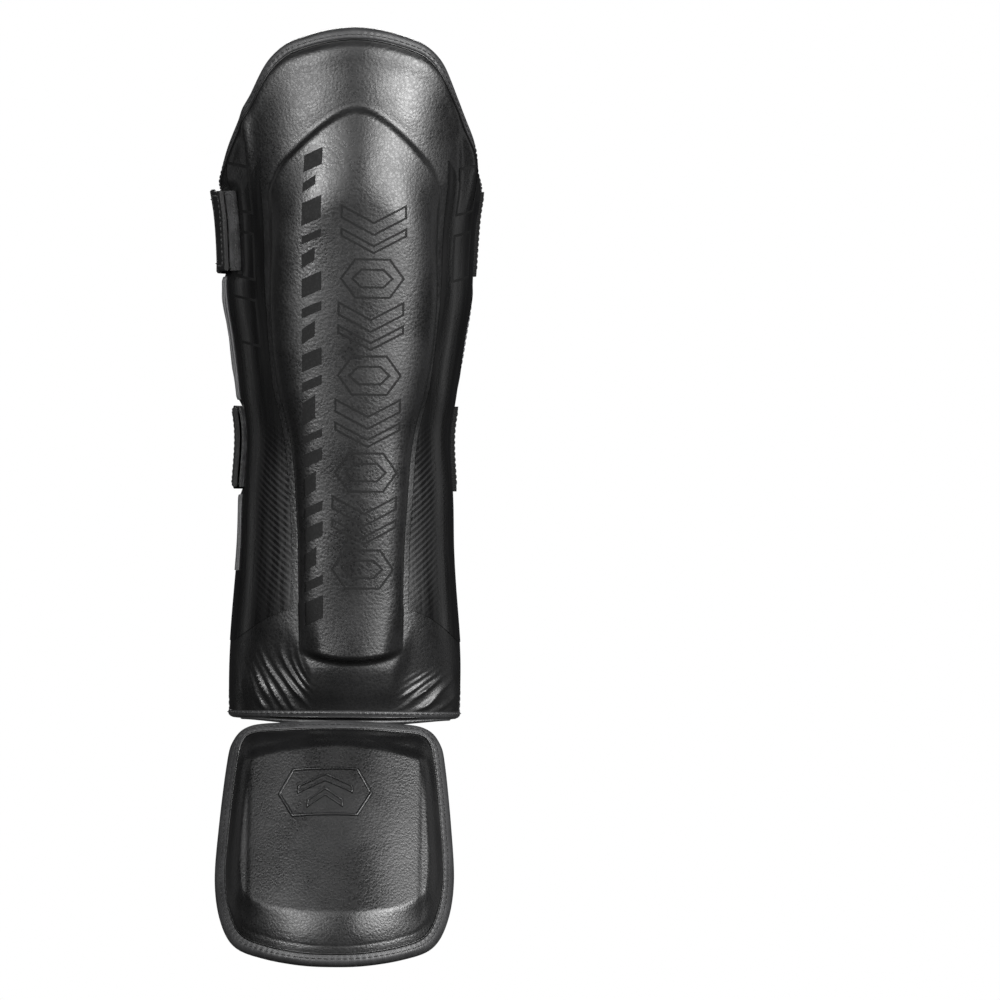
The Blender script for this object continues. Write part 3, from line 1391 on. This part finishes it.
def step_up(thing, a0, z_mid, lift):
    """Raise a strap's first stretch onto the one it is sewn to, easing back behind the splice."""
    co = np.empty(len(thing.data.vertices) * 3)
    thing.data.vertices.foreach_get("co", co)
    co = co.reshape(-1, 3)
    mid_y = (curve(front_line, z_mid) + curve(depth, z_mid)) * MM
    across = co[:, 0] / (curve(half_width, z_mid) * MM)
    back = (co[:, 1] - mid_y) / (curve(depth, z_mid) * MM)
    angle = np.degrees(np.arctan2(across, -back)) % 360
    share = 1 - smooth((angle - a0 - 11) / 9)
    out = unit(np.stack([across, back, np.zeros_like(back)], -1))
    thing.data.vertices.foreach_set("co", (co + out * (share * lift * MM)[:, None]).ravel())
    thing.data.update()


def wing_patch(name, z_mid, a0, a1, off_out, wide, look, slot, node):
    """Flat patch on the outside of a wing, with softened borders."""
    a = np.concatenate([[a0, a0 + 0.4], np.linspace(a0 + 1.2, a1 - 1.2, 36), [a1 - 0.4, a1]])
    x = np.concatenate([[-1, -0.985], np.linspace(-0.94, 0.94, 20), [0.985, 1]]) * wide / 2
    ease = np.minimum(smooth(np.minimum(a - a0, a1 - a))[None, :],
                      smooth(wide / 2 - np.abs(x))[:, None])
    a, z = a[None, :], z_mid + x[:, None]
    top = off_out - PATCH_ROUNDING * (1 - ease) - dent(a, z)
    solid = shell(on_shin(a, z, top), on_shin(a, z, PATCH_BACK - dent(a, z)))
    return piece(name, solid, look, "shin", slot, [node], leg_flow(a, z))


def wing_patches(level, z_mid, loop_front_a):
    """The loop pad that a strap closes on, and the patch over its sewn root."""
    edge = -float(layer_reach(z_mid)) + 1
    out = LOOP_IN + PATCH_T
    wing_patch(f"{level}_loop_pad", z_mid, edge, loop_front_a, out, STRAP_W - 2, loop_look,
               "loop_fabric", f"{level}_loop_patch")
    border = box(edge + 1.4, loop_front_a - 1.4, STRAP_W / 2 - 2.6)
    web_stitches(f"{level}_loop_stitches", [wing_row(z_mid, border, out + 0.05)], "shin")
    wing_patch(f"{level}_anchor_patch", z_mid, ANCHOR_A, ANCHOR_END_A, ROOT_OFF + 1.3, STRAP_W + 1,
               elastic_look, "binding", f"{level}_strap_anchor")
    rows = crossed_box(ANCHOR_A + 2, ANCHOR_END_A - 2, STRAP_W / 2 - 2)
    web_stitches(f"{level}_anchor_stitches",
                 [wing_row(z_mid, r, ROOT_OFF + 1.4) for r in rows], "shin")


# ---- Instep pad ----

def instep_layer(name, shares, out, back, look, slot, node, deep=1.0):
    """Layer between two heights, each a function of (w, s, share of the way out)."""
    spots = INSTEP_MID + (layer_edge - INSTEP_MID)[None] * shares[:, None, None] * deep
    w, s = spots[..., 0], spots[..., 1]
    share = np.broadcast_to(shares[:, None], w.shape)
    solid = dish(on_instep(w, s, out(w, s, share)), on_instep(w, s, back(w, s, share)))
    flow = np.stack([w, s, share * 60], -1)
    return piece(name, solid, look, "instep", slot, [node], flow), solid


def instep_sheet(*layer):
    """A layer that is cut from sheet, declared with the size of the cut."""
    thing, solid = instep_layer(*layer)
    size = (2 * INSTEP_HALF_W * MM * 1.12, INSTEP_LEN * MM * 1.02)
    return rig.sheet(thing, flat=size, held="stretched", area=min(area_of(*solid), size[0] * size[1]))


def instep_pads():
    shares = np.concatenate([np.linspace(1, 0.66, 52), np.linspace(0.65, 0.02, 40)])
    coarse = np.concatenate([np.linspace(1, 0.7, 16), np.linspace(0.66, 0.03, 14)])
    instep_sheet("instep_cover_leather", shares, instep_face,
                 lambda w, s, e: instep_face(w, s, e) - COVER_T, instep_look, "cover_leather",
                 "instep_cover")
    base, _ = instep_layer("instep_base_pad", coarse, lambda w, s, e: instep_base_out(e),
                           lambda w, s, e: instep_base_in(e), foam_look, "foam", "instep_base_foam")
    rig.padded(base, fill=0.9)
    instep_sheet("instep_lining_fabric", coarse, lambda w, s, e: instep_base_in(e) - GLUE_GAP,
                 lambda w, s, e: instep_base_in(e) - GLUE_GAP - LINING_T, lining_look,
                 "lining_fabric", "instep_lining")
    field, _ = instep_layer(
        "instep_raised_pad", coarse,
        lambda w, s, e: np.maximum(instep_base_out(e) + 0.3, instep_face(w, s, e) - COVER_T - 0.2),
        lambda w, s, e: instep_base_out(e) + 0.15, foam_look, "foam", "instep_raised_foam",
        deep=0.86)
    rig.padded(field, fill=1)


def instep_edge():
    ahead = unit(np.roll(layer_edge, -1, 0) - np.roll(layer_edge, 1, 0))
    inward = -np.stack([ahead[:, 1], -ahead[:, 0]], -1)
    binding("instep_tape", layer_edge, inward, instep_place, 2.6, 4.4, tape_look, "instep",
            "instep_binding", closed=True)
    rows = [tape_row(layer_edge, inward, instep_place, inset, side, closed=True)
            for inset, side in ((0.3, 1), (1.5, -1))]
    stitches("instep_stitches", rows, "instep")
    cord("instep_piping", layer_edge, inward, instep_place, 3.1, "instep", closed=True)


EMBLEM_MID, EMBLEM_HALF = (-5, 44), (24, 13)


def emblem():
    """Raised hexagon with two nested chevrons, moulded into the leather."""
    w, s = EMBLEM_MID
    lines = [ribbon(hexagon(EMBLEM_MID, *EMBLEM_HALF, nick=0.3), 1.5, on_field, ROUND_RIBBON)]
    for k, half in enumerate((14, 9)):
        outline = chevron((w, s - 6.5 + 8 * k), half, 3.4, 6.5)
        lines.append(ribbon(outline, 1.1, on_field, ROUND_RIBBON))
    piece("instep_emblem_relief", joined(lines), emblem_look, "instep", "gloss_panel",
          ["instep_emblem"], sharp=80)


SOLE_S, SOLE_W, SOLE_T, SOLE_HALF_W, SOLE_TOP_N, SOLE_DEPTH = 74, 38, 2, 53, -36, 38
SOLE_TAB_T = SOLE_T + 1.2


def under_instep(w, x, n):
    """A point x down from the sole strap's middle, at depth n whatever the pad's arch."""
    return on_instep(w, SOLE_S + x, n + arch_drop(w))


def sole_elastic():
    q = np.radians(np.linspace(0, 180, 70))

    def place(x, n):
        depth_n = SOLE_TOP_N - (SOLE_DEPTH + n) * np.sin(q)
        return under_instep((SOLE_HALF_W + n) * np.cos(q), x, depth_n)

    elastic, length = swept("sole_elastic", band_ring(SOLE_W, SOLE_T), place, elastic_look,
                            "instep", "elastic", "sole_strap")
    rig.sheet(elastic, flat=(SOLE_W * MM, length * MM), held="stretched")

    top_n = RIM_IN - 3.6 - arch_drop(SOLE_HALF_W)
    n = np.linspace(top_n, SOLE_TOP_N - 7, 14)
    x = np.linspace(-SOLE_W / 2, SOLE_W / 2, 20)
    for side, name in ((-1, "left"), (1, "right")):
        rings = [under_instep(side * SOLE_HALF_W + out, down, n)
                 for down, out in band_ring(SOLE_W + 4, SOLE_TAB_T)]
        piece(f"{name}_sole_loop", tube(np.stack(rings, 1)), tab_look, "instep", "binding",
              [f"{name}_sole_tab"], sharp=60)
        outward = np.tile([float(side), 0.0, 0.0], (len(x), 1))
        w = side * (SOLE_HALF_W + SOLE_TAB_T / 2 + 0.1)
        rows = [(under_instep(w, x, level), outward) for level in (top_n - 2, SOLE_TOP_N - 5)]
        web_stitches(f"{name}_sole_stitches", rows, "instep")


STRIP_A, STRIP_TOP, STRIP_FOOT, STRIP_OFF, STRIP_T, STRIP_R = 40, 9, -8, -14, 1.4, 47


def ankle_strip():
    """The flexible strip behind the hem that the instep pad hangs from."""
    a = np.linspace(-STRIP_A, STRIP_A, 60)[None, :]
    z = np.linspace(STRIP_TOP, STRIP_FOOT, 16)[:, None]
    pleat = 0.25 * np.sin(z * 1.1)
    front, rear = (on_leg(a, z, STRIP_OFF + pleat - t, 0 * z) for t in (0, STRIP_T))
    strip = piece("ankle_hinge_strip", shell(front, rear), lining_look, None, "lining_fabric",
                  ["ankle_hinge_panel"], leg_flow(a, z))
    length = math.radians(2 * STRIP_A) * STRIP_R * MM
    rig.sheet(strip, flat=(length, (STRIP_TOP - STRIP_FOOT) * MM), held="stretched")
    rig.blend(strip, "shin", "instep", start=(0, ANKLE_Y * MM, 6 * MM), end=(0, ANKLE_Y * MM, -6 * MM))


# ---- Studio ----

CAMERA_ROLL = math.radians(0.5)
# The middle of the view and its width, as in the photo, in millimetres. The rest is in metres.
VIEW_X, VIEW_Z, VIEW_W = 82.4, 115.5, 525
DISTANCE, FRONT_Y = 6.0, -0.05
AIM = Vector((0, 0, 0.12))

# Softboxes: name, azimuth in degrees, height of the middle, distance, width, height and power
SOFTBOXES = (
    ("right_box", 47, 0.68, 1.9, 0.50, 0.66, 41),
    ("right_side", 62, 0.90, 1.9, 0.32, 0.60, 5),
    ("right_inner", 29, 0.70, 1.9, 0.40, 0.64, 16),
    ("left_box", -35, 0.64, 1.9, 0.46, 0.66, 25),
    ("left_side", -57, 0.95, 1.9, 0.30, 0.50, 2.5),
    ("left_inner", -17, 0.70, 1.9, 0.36, 0.64, 7),
    ("front_top", -2, 1.15, 1.9, 0.80, 0.50, 4),
    ("high_front", 0, 2.10, 1.5, 0.70, 0.70, 1.4),
    ("low_left", -58, -0.40, 1.6, 0.5, 0.4, 5),
    ("low_right", 70, -0.35, 1.6, 0.5, 0.4, 4),
    ("left_rim", -110, 0.4, 1.8, 0.35, 1.4, 0.8),
    ("right_rim", 110, 0.5, 1.8, 0.45, 1.2, 1.2),
    ("back_fill", 180, 1.3, 1.8, 1.0, 0.7, 30),
)


def camera():
    """The photo's camera: level, straight from the front, and rolled a little."""
    right = Vector((math.cos(CAMERA_ROLL), 0, math.sin(CAMERA_ROLL)))
    up = Vector((-math.sin(CAMERA_ROLL), 0, math.cos(CAMERA_ROLL)))
    made = linked("camera", bpy.data.cameras.new("camera"))
    turned = Matrix((right, up, Vector((0, -1, 0)))).transposed().to_4x4()
    place = right * VIEW_X * MM + up * VIEW_Z * MM + Vector((0, FRONT_Y - DISTANCE, 0))
    made.matrix_world = Matrix.Translation(place) @ turned
    made.data.lens = made.data.sensor_width * DISTANCE / (VIEW_W * MM)
    made.data.clip_end = 50
    bpy.context.scene.camera = made


def softboxes():
    """Area lights round the guard, each turned to it."""
    for name, azimuth, height, far, wide, tall, power in SOFTBOXES:
        light = bpy.data.lights.new(name, "AREA")
        light.shape = "RECTANGLE"
        light.size, light.size_y, light.energy = wide, tall, power
        lamp = linked(name, light)
        az = math.radians(azimuth)
        lamp.location = (math.sin(az) * far, -math.cos(az) * far, height)
        way = (lamp.location - AIM).normalized()
        lamp.rotation_euler = way.to_track_quat("Z", "Y").to_euler()


def white_to_camera(tree, shade, glow_type, target):
    """Show plain white to the camera, and shade to everything else."""
    pick, path = tree.nodes.new("ShaderNodeMixShader"), tree.nodes.new("ShaderNodeLightPath")
    white = tree.nodes.new(glow_type)
    white.inputs["Color"].default_value = (1, 1, 1, 1)
    tree.links.new(path.outputs["Is Camera Ray"], pick.inputs[0])
    tree.links.new(shade.outputs[0], pick.inputs[1])
    tree.links.new(white.outputs[0], pick.inputs[2])
    tree.links.new(pick.outputs[0], tree.nodes[target].inputs[0])


def room():
    """Dim grey surroundings for the reflections, and a white background."""
    world = bpy.data.worlds.new("studio")
    bpy.context.scene.world = world
    world.use_nodes = True
    shade = world.node_tree.nodes["Background"]
    shade.inputs["Color"].default_value = (0.02, 0.02, 0.021, 1)
    white_to_camera(world.node_tree, shade, "ShaderNodeBackground", "World Output")
    bpy.context.scene.view_settings.view_transform = "Standard"


def floor():
    """White floor just under the guard, dark to everything but the camera."""
    half, z = 3.0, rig.bounds()[0].z - 0.03
    mesh = bpy.data.meshes.new("floor")
    mesh.from_pydata([(-half, -half, z), (half, -half, z), (half, half, z), (-half, half, z)], [],
                     [(0, 1, 2, 3)])
    paint = bpy.data.materials.new("pale_floor")
    paint.use_nodes = True
    shade = paint.node_tree.nodes["Principled BSDF"]
    shade.inputs["Base Color"].default_value = (0.03, 0.03, 0.03, 1)
    shade.inputs["Roughness"].default_value = 0.9
    white_to_camera(paint.node_tree, shade, "ShaderNodeEmission", "Material Output")
    mesh.materials.append(paint)
    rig.stage(linked("floor", mesh))


camera()
softboxes()
room()
shin_pads()
side_panels()
shin_edges()
ankle_roll()
prints()
for level, (z_mid, loop_front_a), end_a in zip(("upper", "lower"), closures, STRAP_END_A):
    strap(level, z_mid, end_a)
    wing_patches(level, z_mid, loop_front_a)
instep_pads()
instep_edge()
emblem()
sole_elastic()
ankle_strip()
floor()

seen_low, seen_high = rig.bounds()
with open("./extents.json", "w") as out_file:
    json.dump({
        "cad": [list(cad_low), list(cad_high)],
        "visual": [list(seen_low), list(seen_high)],
    }, out_file)
